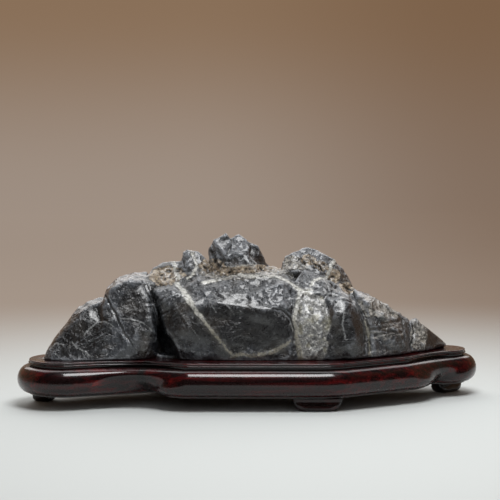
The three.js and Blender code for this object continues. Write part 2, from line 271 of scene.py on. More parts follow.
stageLook = {
    "flatRadius": 1.95, "bendRadius": 0.6, "wallTop": 2.6, "around": 96, "bendSteps": 14,
    "floorColour": (200, 204, 203), "duskFrom": (0.0, 0.15, 0.0), "duskReach": (0.2, 0.85),
    "lowLeft": (156, 141, 129), "lowRight": (129, 110, 95), "highLeft": (136, 111, 88),
    "highRight": (122, 96, 73), "highReach": (0.0, 0.4), "sideReach": (-0.15, 0.5),
    # painted shade in front: a dimmer glow, and a darker floor seen in reflections alone
    "frontReach": (-0.3, -1.0), "frontGlow": 0.12,
    "floorReach": (-0.2, -0.6), "floorDim": 0.55,   # dimmer in front, in reflections alone
    "wallBase": (0.02, 0.018, 0.015, 1), "innerRings": (0.3, 1.0),
    "paperAndGlow": {"Emission Strength": 1.0, "Roughness": 0.9, "Specular IOR Level": 0.1},
}


def makeStage(look):
    bend = [(look["flatRadius"] + look["bendRadius"] * math.sin(a), look["bendRadius"] * (1 - math.cos(a)))
            for a in np.linspace(0, math.pi / 2, look["bendSteps"])]
    line = [(r, 0) for r in look["innerRings"]] + bend + [(bend[-1][0], look["wallTop"])]
    n = look["around"]
    turn = np.linspace(0, 2 * math.pi, n, endpoint=False)
    points = [(r * math.cos(a), r * math.sin(a), z) for r, z in line for a in turn]
    faces = [tuple(range(n))] + [(a, d, c, b) for a, b, c, d in ringFaces(len(line), n)]
    made = meshObject("floorAndGlowingBackdrop", points, faces)
    material, tree, shader = newMaterial("floorPaperAndPaintedGlow")
    place = addNode(tree, "TexCoord").outputs["Object"]
    split = addNode(tree, "SeparateXYZ", {0: place}).outputs
    flat = addNode(tree, "VectorMath", {0: place, 1: (1, 1, 0)}, operation="MULTIPLY").outputs[0]
    flat = addNode(tree, "VectorMath", {0: flat, 1: look["duskFrom"]}, operation="ADD").outputs[0]
    far = addNode(tree, "VectorMath", {0: flat}, operation="LENGTH").outputs["Value"]
    dusk = ramp(far, *look["duskReach"])
    # far out the floor and wall glow with painted light, warm, darker higher up and to the right
    side = ramp(split["X"], *look["sideReach"])
    low = mixColour(side, screenColour(*look["lowLeft"]), screenColour(*look["lowRight"]))
    high = mixColour(side, screenColour(*look["highLeft"]), screenColour(*look["highRight"]))
    glow = mixColour(ramp(split["Z"], *look["highReach"]), low, high)
    # in front, the glow that lights the scene and the floor seen in reflections are darkened: painted shade
    # that the camera doesn't see
    dim = ramp(split["Y"], *look["frontReach"], 0.0, 1.0 - look["frontGlow"])
    seen = addNode(tree, "LightPath").outputs["Is Camera Ray"]
    unseen = minus(1.0, seen)
    black = (0, 0, 0, 1)
    glow = mixColour(times(dim, unseen), glow, black)
    floorDim = ramp(split["Y"], *look["floorReach"], 0.0, look["floorDim"])
    floor = mixColour(times(floorDim, unseen), screenColour(*look["floorColour"]), black)
    setInputs(shader, {"Base Color": mixColour(dusk, floor, look["wallBase"]),
                       "Emission Color": mixColour(dusk, black, glow), **look["paperAndGlow"]})
    made.data.materials.append(material)


makeStage(stageLook)

# Two soft overhead boxes, a fill from the front that isn't mirrored, and a dim room

lightColour = (0.99, 0.995, 1.0)
roomLight = {"Color": (0.96, 0.98, 1.0, 1), "Strength": 0.04}
lights = [
    {"name": "frontBox", "place": (0.12, -0.33, 0.86), "aim": (0.02, 0.0, 0.04), "size": (0.5, 0.36),
     "power": 7.0},
    {"name": "backBox", "place": (-0.02, 0.58, 0.74), "aim": (0.0, 0.0, 0.05), "size": (1.3, 1.0),
     "power": 8.2},
    {"name": "frontFill", "place": (-0.1, -1.2, 0.8), "aim": (0.0, 0.0, 0.0), "size": (1.6, 0.9),
     "power": 3.0, "mirrored": False},
]
for look in lights:
    data = bpy.data.lights.new(look["name"], "AREA")
    data.shape = "RECTANGLE"
    data.size, data.size_y = look["size"]
    data.energy = look["power"]
    data.color = lightColour
    lamp = intoScene(bpy.data.objects.new(look["name"], data))
    lamp.location = look["place"]
    aim = Vector(look["aim"]) - Vector(look["place"])
    lamp.rotation_euler = aim.to_track_quat("-Z", "Y").to_euler()
    lamp.visible_camera = False
    lamp.visible_glossy = look.get("mirrored", True)

world = bpy.data.worlds.new("room")
bpy.context.scene.world = world
world.use_nodes = True
setInputs(world.node_tree.nodes["Background"], roomLight)
bpy.context.scene.view_settings.view_transform = "Standard"
print("camera, floor and lights are in place")

# The stone: places on it are in mm, x to the right, y back, z up, from the middle of the footprint

stoneShape = {
    "voxel": 1.05,            # mm between points of the new skin
    "smoothing": 2,           # rounds that take the voxel steps away
    "extraSmoothing": 16,     # more rounds where the stone is worn smooth
    "smoothShare": 0.55,      # how far each round goes
    "stillBelow": (37.5, 42), # heights between which the relief fades into the seat
    "seatedBelow": (36, 37.4),
    "patchWobble": (14, 5, 0.45),    # size, seed and strength of what makes the patches' edges ragged
    "plainRugged": 0.42, "grainRugged": 0.35, "wornCalm": 0.75,
    "warp": (9, (61, 62, 63), 3),    # size, seeds and reach of what bends the chips
    "chips": ((13, 3.0, 11), (6.4, 1.5, 12), (3.6, 0.55, 13)),   # cell size, depth, seed
    "lumps": ((16, 0.8, 21), (5, 0.5, 22), (2.6, 0.26, 23)),
    "crust": {"lumps": (4.2, 1.5, 31), "pits": (5.2, 1.3, 32)},
    "slant": ((0.86, 0.1, 0.5), (-0.1, 1.0, 0.0), (-0.32, 0.0, 0.55)),   # chips lean along this
    "ripples": (3.4, 0.4, 71), "rippleWay": (-0.5, 0.3, 0.86),
    "beds": (3.0, 0.42, 72),
    "lineShake": (6, (41, 42, 43), 0.9),   # size, seeds and reach of what makes veins and cracks wander
    "crackDepth": 1.3,
    "veinRise": 0.22,
    "swell": 0.45,            # makes good what the smoothing takes off
    "fineEdge": (2, 2.2), "broadEdge": (14, 0.9),   # rounds of smoothing and gain of each edge measure
    "edgeShare": 0.6,
}

# Patches of the stone as rounded blobs: x, y, z and the three half widths
patches = {
    "crust": ((-64, 0, 98, 15, 26, 7), (-30, 4, 106, 12, 20, 6), (-8, 2, 102.5, 34, 13, 4.2),
              (45, 6, 110, 6, 10, 4.5), (54, 8, 104, 6.5, 10, 4.5), (64, 4, 97, 7, 12, 5.5),
              (75, 0, 88, 7, 12, 5), (-30, 42, 66, 26, 14, 10), (72, 44, 60, 17, 12, 10)),
    "grain": ((-8, -8, 101, 38, 16, 6), (104, -2, 74, 21, 34, 10), (20, 6, 97, 18, 16, 8),
              (34, 8, 105, 13, 12, 7), (132, 10, 50, 8, 24, 12), (20, 46, 72, 32, 14, 16),
              (-92, 36, 60, 16, 16, 14)),
    "speck": ((45, -30, 66, 14, 22, 26), (47, -30, 48, 12, 20, 14), (-62, 40, 62, 20, 14, 20),
              (94, 40, 52, 14, 14, 14)),
    "worn": ((-8, -30, 62, 38, 16, 22), (17, -32, 60, 16, 30, 17), (76, -26, 60, 17, 20, 24),
             (-66, -24, 58, 18, 16, 22), (-88, -18, 76, 16, 18, 16), (-130, -22, 56, 26, 20, 20),
             (2, 4, 107, 12, 14, 7), (146, 24, 46, 10, 18, 14), (-20, 40, 50, 40, 12, 16)),
    "chipped": ((-18, 10, 121, 16, 18, 14), (132, 10, 52, 8, 14, 12), (22, -24, 84, 17, 14, 10),
                (50, 10, 112, 20, 18, 9), (-52, 4, 108, 10, 16, 8), (100, 8, 72, 22, 26, 10),
                (0, 30, 100, 60, 18, 24)),
    "wrinkled": ((-64, -20, 80, 16, 16, 14), (-128, -24, 52, 26, 16, 16)),
    "layered": ((104, -10, 52, 20, 24, 15), (-100, 34, 46, 24, 16, 12)),
}

# Veins: the side each is seen from, the depth y that its points are given at (used from the front alone)
# and its points, as x, z and half width, or x, y and half width from the top
veins = {
    "bright": (
        ("front", -28, ((-57, 95, 2), (-54.9, 91.6, 2.3), (-51.7, 88.1, 2.3), (-46.9, 81, 2.2),
         (-41.4, 72.3, 1.5), (-32.9, 61.9, 1.1), (-23.7, 50.6, 1), (-13.8, 38.5, 0.9))),
        ("front", -13, ((-37.2, 92.9, 1), (-28.7, 95.2, 1.5), (-19.4, 97.4, 1.6), (-10.1, 98.9, 1.5),
         (-0.8, 98.2, 1.4), (8.6, 98.2, 1.3), (18.6, 98.2, 1.3), (27.1, 95.3, 1.5), (34, 90.2, 1.8),
         (39.4, 86.6, 2), (46, 85.2, 1))),
        ("front", -30, ((37.1, 87.9, 1.3), (35.4, 80.1, 1.1), (33.8, 66.9, 1.6), (35.3, 51.9, 1.5),
         (38.4, 37.3, 2.2))),
        ("front", -32, ((-15, 38.5, 0.8), (-8, 41, 1.3), (1, 39.5, 1.2), (10, 40.5, 1.3), (18, 43, 1.6),
         (25, 47, 1.4), (30, 51, 0.8))),
        ("front", -16, ((88, 64, 0.5), (90.8, 55, 1.1), (91.2, 46, 1.2), (92.2, 38.5, 1.6))),
        ("front", 2, ((-46, 115, 1), (-43.8, 108.3, 1.1), (-42.2, 103.8, 1.2), (-45.1, 98.3, 1.1),
         (-50, 94.5, 0.9))),
        ("back", 0, ((-110, 60, 1.2), (-70, 78, 1.6), (-30, 70, 1.3), (15, 84, 1.5), (60, 66, 1.1))),
        ("back", 0, ((-30, 70, 0.8), (-18, 54, 1.3), (-12, 38, 1))),
        ("back", 0, ((92, 70, 0.9), (98, 54, 1.5), (108, 38, 1.2))),
        ("top", 0, ((-57, -8, 1.6), (-60, 4, 1.2), (-66, 18, 1.4), (-70, 30, 1))),
        ("top", 0, ((46, -16, 1), (58, -4, 1.2), (66, 14, 1.3), (64, 34, 1))),
    ),
    "thin": (
        ("front", -19, ((46, 87, 0.6), (50.3, 87.2, 0.7), (61, 85.7, 0.7), (68.7, 83.5, 0.6),
         (76.4, 79, 0.55), (81, 73.6, 0.4))),
        ("front", -28, ((68.7, 83.5, 0.5), (71.4, 73.1, 0.5), (70.5, 63.5, 0.5), (72.8, 52, 0.4))),
        ("front", -26, ((-100.1, 67.8, 0.4), (-91.6, 67.2, 0.5), (-83.8, 64.2, 0.5), (-76.1, 58.1, 0.4))),
        ("front", -24, ((-128.6, 54, 0.4), (-124.1, 59.9, 0.5), (-118, 64.4, 0.5), (-111.8, 64.6, 0.5),
         (-106.3, 61, 0.3))),
        ("front", -28, ((-154.7, 43.4, 0.5), (-150.2, 48.7, 0.6), (-143.8, 47.4, 0.5))),
        ("front", -30, ((-137.1, 50.2, 0.5), (-133.8, 45.2, 0.6), (-126.7, 42.4, 0.6),
         (-123.5, 38.8, 0.5))),
        ("front", -27, ((-30.8, 88.4, 0.4), (-24.6, 83.4, 0.5), (-17.6, 77.1, 0.4), (-11.5, 69, 0.3))),
        ("front", -27, ((-17.7, 87.6, 0.4), (-11.5, 83.4, 0.55), (-6.1, 79.4, 0.4))),
        ("front", -27, ((-36.3, 88.9, 0.35), (-31.5, 80.6, 0.4), (-26.8, 72.6, 0.3))),
        ("front", -28, ((-60, 84, 0.15), (-55, 74, 0.25), (-47, 62, 0.2), (-38, 50, 0.1))),
        ("front", -8, ((56, 97, 0.4), (60, 90, 0.5), (62, 84, 0.4))),
        ("back", 0, ((-80, 44, 0.5), (-50, 58, 0.6), (-10, 52, 0.5), (30, 62, 0.6), (90, 48, 0.5))),
        ("back", 0, ((-40, 92, 0.5), (-20, 84, 0.5), (6, 92, 0.4), (30, 80, 0.5))),
        ("back", 0, ((110, 60, 0.5), (122, 48, 0.6), (130, 40, 0.4))),
    ),
}

# Cracks, in the same way
cracks = (
    ("front", -24, ((-114.8, 88.7, 0.3), (-111.9, 84.3, 0.5), (-107.2, 76.8, 0.5), (-102.4, 66.3, 0.5),
     (-97.7, 55.8, 0.4), (-91, 47, 0.2))),
    ("front", -20, ((-84, 95, 0.4), (-82.1, 92.9, 0.6), (-79.7, 86.9, 0.8), (-76.3, 78.3, 0.9),
     (-73.1, 67.9, 1))),
    ("front", 6, ((43.2, 112.8, 0.4), (48.7, 108.1, 0.6), (54.1, 103.5, 0.6), (58.7, 96.7, 0.4))),
    ("front", -4, ((72.5, 89.7, 0.8), (78.8, 87.1, 0.8))),
    ("front", -16, ((72, 80.7, 0.6), (78.2, 78.4, 0.8), (82, 71, 0.4))),
    ("front", 2, ((126.2, 61.7, 0.5), (127.5, 52.7, 0.6), (124.9, 42.9, 0.6), (126.4, 37.7, 0.5))),
    ("front", -2, ((117.7, 64.3, 0.3), (119, 55.4, 0.4), (119.7, 46.2, 0.3))),
    ("front", -18, ((83, 72, 0.3), (87, 61, 0.7), (87.8, 50, 1), (88, 39, 1))),
    ("front", -32, ((32, 50, 0.2), (33, 60, 0.5), (30.5, 68.5, 0.6), (25, 74, 0.5), (17, 76.5, 0.2))),
    ("front", 6, ((-14.9, 126.8, 0.4), (-15.6, 120.8, 0.5), (-19.5, 113.4, 0.3))),
    ("back", 0, ((-35, 88, 0.4), (-20, 76, 0.6), (-2, 82, 0.5), (12, 70, 0.4))),
    ("back", 0, ((60, 84, 0.4), (66, 66, 0.6), (58, 48, 0.4))),
)


lineSteps = {"step": 0.45, "farOff": 400}   # mm between points on a line, and where its rays start


def onSkin(tree, lines):
    # small steps along each line, laid on the stone's skin, with the half width there
    places, widths = [], []
    for side, depth, corners in lines:
        for start, end in zip(corners[:-1], corners[1:]):
            start, end = np.array(start, float), np.array(end, float)
            for share in np.arange(0, 1, lineSteps["step"] / np.linalg.norm(end[:2] - start[:2])):
                first, second, wide = start + share * (end - start)
                if side == "front":
                    eye = Vector(cameraLook["place"])
                    way = Vector((first, depth, second)) - eye
                elif side == "back":
                    eye, way = Vector((first, lineSteps["farOff"], second)), Vector((0, -1, 0))
                else:
                    eye, way = Vector((first, second, lineSteps["farOff"])), Vector((0, 0, -1))
                hit = tree.ray_cast(eye, way.normalized())[0]
                if hit is not None:
                    places.append(hit)
                    widths.append(wide)
    return places, widths


def gapToLines(tree, points, lines):
    # how far each point is from the edge of the nearest line, below 0 inside it
    places, widths = onSkin(tree, lines)
    near = KDTree(len(places))
    for k, place in enumerate(places):
        near.insert(place, k)
    near.balance()
    found = [near.find(p) for p in points]
    return np.array([far - widths[k] for _, k, far in found])


def patchShare(points, blobs, wobble, soft=0.25):
    total = np.zeros(len(points))
    for x, y, z, wideX, wideY, wideZ in blobs:
        far = np.linalg.norm((points - (x, y, z)) / (wideX, wideY, wideZ), axis=1) + wobble
        total = np.maximum(total, 1 - smoothStep(1 - soft, 1 + soft, far))
    return total


def neighbourMean(values, edges, count):
    # the mean of each point's neighbours along the mesh's edges
    total = np.zeros_like(values)
    for column in range(values.shape[1]):
        total[:, column] = (np.bincount(edges[:, 0], values[edges[:, 1], column], len(values))
                            + np.bincount(edges[:, 1], values[edges[:, 0], column], len(values)))
    return total / count[:, None]


def makeStone(look):
    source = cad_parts["stone"]
    rough = intoScene(bpy.data.objects.new("stoneRough", source.data.copy()))
    weld = rough.modifiers.new("weld", "WELD")
    weld.merge_threshold = 1e-6
    remesh = rough.modifiers.new("skin", "REMESH")
    remesh.mode = "VOXEL"
    remesh.voxel_size = look["voxel"] * mm
    shown = rough.evaluated_get(bpy.context.evaluated_depsgraph_get())
    mesh = bpy.data.meshes.new_from_object(shown)
    mesh.name = "stoneSkin"
    mesh.materials.clear()
    bpy.data.objects.remove(rough)
    if "sharp_face" in mesh.attributes:
        mesh.attributes.remove(mesh.attributes["sharp_face"])
    mesh.shade_smooth()

    edges = np.zeros(len(mesh.edges) * 2, np.int32)
    mesh.edges.foreach_get("vertices", edges)
    edges = edges.reshape(-1, 2)
    points = readPoints(mesh) / mm
    count = np.bincount(edges.ravel(), minlength=len(points)).astype(float)

    for _ in range(look["smoothing"]):
        points += look["smoothShare"] * (neighbourMean(points, edges, count) - points)

    size, seed, strength = look["patchWobble"]
    wobble = layeredNoise(points, size, seed) * strength
    masks = {name: patchShare(points, blobs, wobble) for name, blobs in patches.items()}
    worn = masks["worn"] * (1 - masks["chipped"])
    for _ in range(look["extraSmoothing"]):
        points += look["smoothShare"] * worn[:, None] * (neighbourMean(points, edges, count) - points)

    normals = movePoints(mesh, points)

    # relief along the surface's own direction
    rugged = look["plainRugged"] + masks["chipped"] + look["grainRugged"] * masks["grain"]
    rugged = np.clip(rugged, 0, 1) * (1 - look["wornCalm"] * worn)
    size, seeds, reach = look["warp"]
    warped = points + np.stack([layeredNoise(points, size, s) for s in seeds], 1) * reach
    slanted = warped @ np.array(look["slant"]).T
    height = np.full(len(points), look["swell"])
    for size, depth, seed in look["chips"]:
        height += depth * rugged * scallops(slanted, size, seed)
    for size, depth, seed in look["lumps"]:
        height += depth * (0.35 + 0.65 * rugged) * softNoise(points, size, seed) * 1.6
    size, depth, seed = look["crust"]["lumps"]
    height += depth * masks["crust"] * layeredNoise(warped, size, seed)
    size, depth, seed = look["crust"]["pits"]
    pitted = pits(warped, size, seed) * np.clip(masks["crust"] + 0.25 * masks["grain"], 0, 1)
    height -= depth * pitted

    x, y, z = points.T
    size, depth, seed = look["ripples"]
    slant = points @ np.array(look["rippleWay"])
    height += depth * masks["wrinkled"] * ridgeNoise(np.stack([slant, x * 0.12, y * 0.12], 1), size, seed)
    size, depth, seed = look["beds"]
    height += depth * masks["layered"] * ridgeNoise(np.stack([z + x * 0.1, x * 0.1, y * 0.1], 1), size, seed)

    skin = BVHTree.FromPolygons(points.tolist(), [tuple(f.vertices) for f in mesh.polygons])
    size, seeds, reach = look["lineShake"]
    shaken = points + np.stack([softNoise(points, size, s) for s in seeds], 1) * reach
    gaps = {kind: gapToLines(skin, shaken, lines) for kind, lines in veins.items()}
    height += look["veinRise"] * (1 - smoothStep(-0.6, 0.6, gaps["bright"]))
    groove = 1 - smoothStep(-0.4, 0.9, gapToLines(skin, shaken, cracks))
    height -= look["crackDepth"] * groove

    height = look["swell"] + (height - look["swell"]) * smoothStep(*look["stillBelow"], points[:, 2])
    height *= smoothStep(*look["seatedBelow"], points[:, 2])
    low, high = (np.array(c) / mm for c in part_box("stone"))
    points = np.clip(points + normals * height[:, None], low, high)
    normals = movePoints(mesh, points)

    # how far each point stands out of, or lies below, its surroundings
    near = points.copy()
    for name in ("fineEdge", "broadEdge"):
        rounds, gain = look[name]
        for _ in range(rounds):
            near += look["edgeShare"] * (neighbourMean(near, edges, count) - near)
        storeValues(mesh, name, np.clip(((points - near) * normals).sum(1) * gain, -1, 1))
    kept = {name: masks[name] for name in ("crust", "grain", "speck", "layered", "chipped")}
    kept.update(worn=worn, rugged=rugged, pitted=np.maximum(pitted, groove),
                brightGap=np.clip(gaps["bright"], -4, 8), thinGap=np.clip(gaps["thin"], -4, 8))
    for name, values in kept.items():
        storeValues(mesh, name, values)
    return intoScene(bpy.data.objects.new("stoneSkin", mesh))


# Groups that the stone and the wood share

def wearGroup():
    # where edges are rubbed light, with a painted highlight on the stone's edges, and where grime and
    # painted shade lie in the hollows, broken up by noise
    group, given, end = newGroup(
        "wearGrimeAndShade",
        [("Place", "Vector", None), ("Edge", "Float", 0.0), ("Size", "Float", 3.0), ("Reach", "Float", 0.5)],
        [("Wear", "Float"), ("GrimeAndShade", "Float")])
    noise = noiseValue(given["Place"], given["Size"], 4.0, 0.6)
    ragged = times(minus(noise, 0.5), given["Reach"])
    edge = plus(given["Edge"], ragged)
    setInputs(end, {"Wear": ramp(edge, 0.12, 0.5), "GrimeAndShade": ramp(edge, -0.12, -0.55)})
    return group


def mottleGroup():
    # cloudy variation at two sizes, 0 to 1
    group, given, end = newGroup(
        "mottle", [("Place", "Vector", None), ("Broad", "Float", 30.0), ("Fine", "Float", 2.0)],
        [("Cloud", "Float"), ("Fleck", "Float")])
    for title, target in (("Broad", "Cloud"), ("Fine", "Fleck")):
        noise = noiseValue(given["Place"], given[title], 5.0, 0.62)
        setInputs(end, {target: ramp(noise, 0.3, 0.7)})
    return group


def hairlineGroup():
    # long thin wandering lines, 1 on a line and 0 off it, along the place's own x and z
    group, given, end = newGroup(
        "hairlines", [("Place", "Vector", None), ("Turn", "Vector", None), ("Size", "Float", 12.0),
                      ("Width", "Float", 0.01)], [("Line", "Float")])
    noise = noiseValue(mapped(given["Place"], (0.16, 1.0, 1.0), given["Turn"]), given["Size"], 1.5)
    away = mathNode("ABSOLUTE", minus(noise, 0.5))
    thin = mathNode("SUBTRACT", 1.0, mathNode("DIVIDE", away, given["Width"]), True)
    breaks = addNode(group, "TexNoise", {"Vector": given["Place"], "Scale": 90.0, "Detail": 3.0})
    unbroken = ramp(breaks.outputs["Fac"], 0.5, 0.62)
    setInputs(end, {"Line": times(thin, unbroken)})
    return group


def chipGroup():
    # small shallow hollows that meet in sharp ridges, as a height in mm
    group, given, end = newGroup(
        "chips", [("Place", "Vector", None), ("Size", "Float", 4.0), ("Depth", "Float", 0.6)],
        [("Height", "Float")])
    noise = addNode(group, "TexNoise", {"Vector": given["Place"], "Scale": 170.0, "Detail": 4.0})
    shift = addNode(group, "VectorMath", {0: noise.outputs["Color"], 1: (0.5, 0.5, 0.5)},
                    operation="SUBTRACT").outputs[0]
    reach = times(given["Size"], 1.6 * mm)
    shift = addNode(group, "VectorMath", {0: shift, "Scale": reach}, operation="SCALE").outputs[0]
    warped = addNode(group, "VectorMath", {0: given["Place"], 1: shift}, operation="ADD").outputs[0]
    cells = {"Vector": mapped(warped, (1.0, 1.0, 0.62), (0, 0.55, 0)),
             "Scale": mathNode("DIVIDE", 1000.0, given["Size"])}
    far = addNode(group, "TexVoronoi", cells).outputs["Distance"]
    deep = times(given["Depth"], given["Size"])
    setInputs(end, {"Height": times(times(far, far), deep)})
    return group


wearGrimeAndShade = wearGroup()
mottle = mottleGroup()
chips = chipGroup()
hairlines = hairlineGroup()

stoneLook = {
    "dark": (17, 18, 20), "mid": (54, 58, 64), "chipGreyAndLit": (114, 117, 122), "rubbed": (166, 171, 178),
    "grimeAndShade": (14, 13, 13), "brown": (74, 66, 56), "vein": (196, 195, 188), "oldVein": (150, 145, 128),
    "veinGrey": (118, 117, 112), "thinVein": (140, 142, 143),
    "crustPale": (204, 190, 168), "crustMid": (142, 126, 105),
    "crustDark": (66, 55, 45), "grainPale": (192, 187, 177), "grainDark": (72, 69, 66),
    "speckPale": (220, 219, 213), "speckMid": (124, 124, 122), "speckDark": (36, 37, 38),
    "speckGreen": (152, 147, 118), "bed": (178, 175, 170),
}
# sizes are the width of one lump in mm, the rest are strengths from 0 to 1 but for the relief, in mm
stoneFinish = {
    "cloud": 22.0, "fleck": 2.2, "wearSize": 1.4, "wearReach": 0.45, "ragged": 1.6, "raggedBroad": 6.0,
    "smallFleck": 0.9, "stain": 18.0, "scratch": 0.22, "wornDark": 0.5, "broken": 0.5, "bed": 2.8,
    "bedBreak": 5.0, "salt": 2.6, "speck": 0.92, "green": 9.0, "grit": 2.4, "grain": 0.8, "crumb": 4.0,
    "wear": 0.3, "grimeAndShade": 0.75, "haze": 0.45, "vein": 0.9, "lowVein": 0.25, "veinFade": (0.078, 0.055),
    "roughness": (0.24, 0.42), "dryRough": 0.4, "pitRough": 0.3, "broadChips": (4.4, 0.6),
    "smallChips": (2.0, 0.45), "coarse": (4.6, 1.5), "tooth": (0.9, 0.24), "scratchDepth": 0.12,
    "wornRelief": 0.25, "wax": {"Specular IOR Level": 0.7, "Coat Weight": 0.7, "Coat Roughness": 0.16},
}


def stoneMaterial(look, finish):
    colours = {name: screenColour(*value) for name, value in look.items()}
    material, tree, shader = newMaterial("darkLimestone")
    place = addNode(tree, "TexCoord").outputs["Object"]
    base = placeGroup(tree, mottle, {"Place": place, "Broad": finish["cloud"], "Fine": finish["fleck"]})
    edge = plus(attribute(tree, "fineEdge"), times(attribute(tree, "broadEdge"), 0.5))
    wear = placeGroup(tree, wearGrimeAndShade, {"Place": place, "Edge": edge, "Size": finish["wearSize"],
                                           "Reach": finish["wearReach"]})
    worn, pitted, rugged = (attribute(tree, name) for name in ("worn", "pitted", "rugged"))
    ragged = minus(noiseValue(place, finish["ragged"], 4, 0.7), 0.5)
    raggedBroad = minus(noiseValue(place, finish["raggedBroad"], 5, 0.65), 0.5)

    def lay(mask, name, strength=None):
        # the tone so far, with a colour of that name or a made one over it where the mask is
        share = mask if strength is None else times(mask, strength)
        return mixColour(share, tone, colours[name] if isinstance(name, str) else name)

    def patchMask(name, sharpness=0.1):
        spread = plus(attribute(tree, name), times(raggedBroad, 1.5))
        spread = plus(spread, times(ragged, 0.8))
        return ramp(spread, 0.5 - sharpness, 0.5 + sharpness)

    # the plain dark body, cloudy, finely flecked and darkest where it is rubbed smooth
    cloud = times(base["Cloud"], ramp(worn, 0.2, 1.0, 1.0, 0.35))
    tone = mixColour(cloud, colours["dark"], colours["mid"])
    fleckPlace = ramp(raggedBroad, 0.0, 0.16)
    fleck = ramp(noiseValue(place, finish["smallFleck"], 3, 0.7), 0.58, 0.74, 0.0, 0.5)
    tone = lay(times(fleck, fleckPlace), "rubbed")
    stain = noiseValue(place, finish["stain"], 3)
    tone = lay(ramp(stain, 0.52, 0.7, 0.0, 0.4), "brown")
    scratch = 0.0
    for turn, size, width in (((0.2, 0.75, 0.1), 7.0, 0.016), ((0.4, -0.9, 0.5), 9.0, 0.012),
                              ((0.1, 0.1, 1.2), 8.0, 0.012)):
        line = placeGroup(tree, hairlines, {"Place": place, "Turn": turn, "Size": size, "Width": width})
        scratch = mathNode("MAXIMUM", scratch, line["Line"])
    tone = lay(scratch, "rubbed", finish["scratch"])

    # freshly broken stone is greyer, and the chipped tops are also lighter as painted light where they face
    # the lamps; what hands have rubbed is darker
    tone = lay(ramp(worn, 0.2, 0.9, 0.0, finish["wornDark"]), "dark")
    broken = times(patchMask("chipped", 0.4), ramp(worn, 0.5, 0.1))
    tone = lay(broken, "chipGreyAndLit", finish["broken"])

    # pale beds low on the slope
    bedPlace = mapped(place, (0.22, 0.22, 1.0), (0, 0.1, 0))
    beds = ramp(noiseValue(bedPlace, finish["bed"], 5, 0.68, 0.6), 0.48, 0.66)
    beds = times(beds, patchMask("layered", 0.4))
    broken = noiseValue(place, finish["bedBreak"], 4, 0.6)
    beds = times(beds, ramp(broken, 0.34, 0.56, 0.3, 0.9))
    tone = lay(beds, "bed")

    # salt and pepper patch
    speckMask = patchMask("speck", 0.3)
    salt = noiseValue(place, finish["salt"], 6, 0.8)
    pepper = mixColour(ramp(salt, 0.36, 0.5), colours["speckDark"], colours["speckMid"])
    pepper = mixColour(ramp(salt, 0.52, 0.62), pepper, colours["speckPale"])
    green = ramp(noiseValue(place, finish["green"], 3), 0.5, 0.66, 0.0, 0.5)
    pepper = mixColour(green, pepper, colours["speckGreen"])
    tone = lay(speckMask, pepper, finish["speck"])

    # coarse grained, pinkish beige stone
    grainMask = patchMask("grain", 0.22)
    grit = noiseValue(place, finish["grit"], 6, 0.78)
    grain = mixColour(ramp(grit, 0.4, 0.6), colours["grainDark"], colours["grainPale"])
    tone = lay(grainMask, grain, finish["grain"])

    # earthy crust in the hollows
    crustMask = patchMask("crust", 0.16)
    crumb = noiseValue(place, finish["crumb"], 7, 0.75, 0.5)
    crust = mixColour(ramp(crumb, 0.34, 0.48), colours["crustDark"], colours["crustMid"])
    crust = mixColour(ramp(crumb, 0.5, 0.64), crust, colours["crustPale"])
    tone = lay(crustMask, crust)

    # light rubbed ridges that also carry a painted highlight, and dark hollows of grime and painted shade
    tone = lay(wear["Wear"], "rubbed", finish["wear"])
    tone = lay(wear["GrimeAndShade"], "grimeAndShade", finish["grimeAndShade"])

    # veins, ragged and broken, with a pale haze beside them
    spread = plus(times(ragged, 3.4), times(raggedBroad, 3.0))
    gap = plus(attribute(tree, "brightGap"), spread)
    haze = times(ramp(gap, 3.6, 0.2), ramp(salt, 0.42, 0.62))
    tone = lay(haze, "veinGrey", finish["haze"])
    veinMask = ramp(gap, 0.6, -0.3)
    low = ramp(addNode(tree, "SeparateXYZ", {0: place}).outputs["Z"], *finish["veinFade"])
    veinTone = mixColour(low, colours["vein"], colours["oldVein"])
    veinTone = mixColour(ramp(salt, 0.54, 0.4), veinTone, colours["veinGrey"])
    strength = minus(finish["vein"], times(low, finish["lowVein"]))
    tone = lay(veinMask, veinTone, strength)
    gap = plus(attribute(tree, "thinGap"), times(ragged, 2.2))
    tone = lay(ramp(gap, 0.35, -0.1, 0.0, 0.7), "thinVein")
    # pits and cracks darkened with grime and painted shade
    tone = lay(ramp(pitted, 0.35, 0.95, 0.0, 0.85), "grimeAndShade")

    # waxed where it is smooth, dry in the crust
    dry = mathNode("MAXIMUM", crustMask, times(grainMask, 0.6))
    gloss = ramp(base["Fleck"], 0.0, 1.0, *finish["roughness"])
    gloss = plus(gloss, times(dry, finish["dryRough"]))
    gloss = mathNode("ADD", gloss, times(pitted, finish["pitRough"]), True)

    # relief in mm: flat chips, rough grit and a fine tooth, quiet where it is worn
    size, depth = finish["coarse"]
    relief = times(noiseValue(place, size, 6, 0.7), depth)
    for size, depth in (finish["broadChips"], finish["smallChips"]):
        chipped = placeGroup(tree, chips, {"Place": place, "Size": size, "Depth": depth})["Height"]
        relief = plus(relief, chipped)
    roughest = plus(ramp(rugged, 0.0, 1.0, finish["wornRelief"], 1.0), dry)
    relief = times(relief, roughest)
    size, depth = finish["tooth"]
    relief = plus(relief, times(noiseValue(place, size, 2, 0.6), depth))
    relief = minus(relief, times(scratch, finish["scratchDepth"]))
    bump = addNode(tree, "Bump", {"Strength": 1.0, "Distance": 1.0 * mm, "Height": relief}).outputs[0]
    setInputs(shader, {"Base Color": tone, "Roughness": gloss, "Normal": bump, **finish["wax"]})
    return material


stone = makeStone(stoneShape)
stone.data.materials.append(stoneMaterial(stoneLook, stoneFinish))
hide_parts("stone")
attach(stone, "root")
print("stone:", len(stone.data.polygons), "faces")

# The stand: three rounded lobes run together, with a roll, a quirk and a lip round the edge

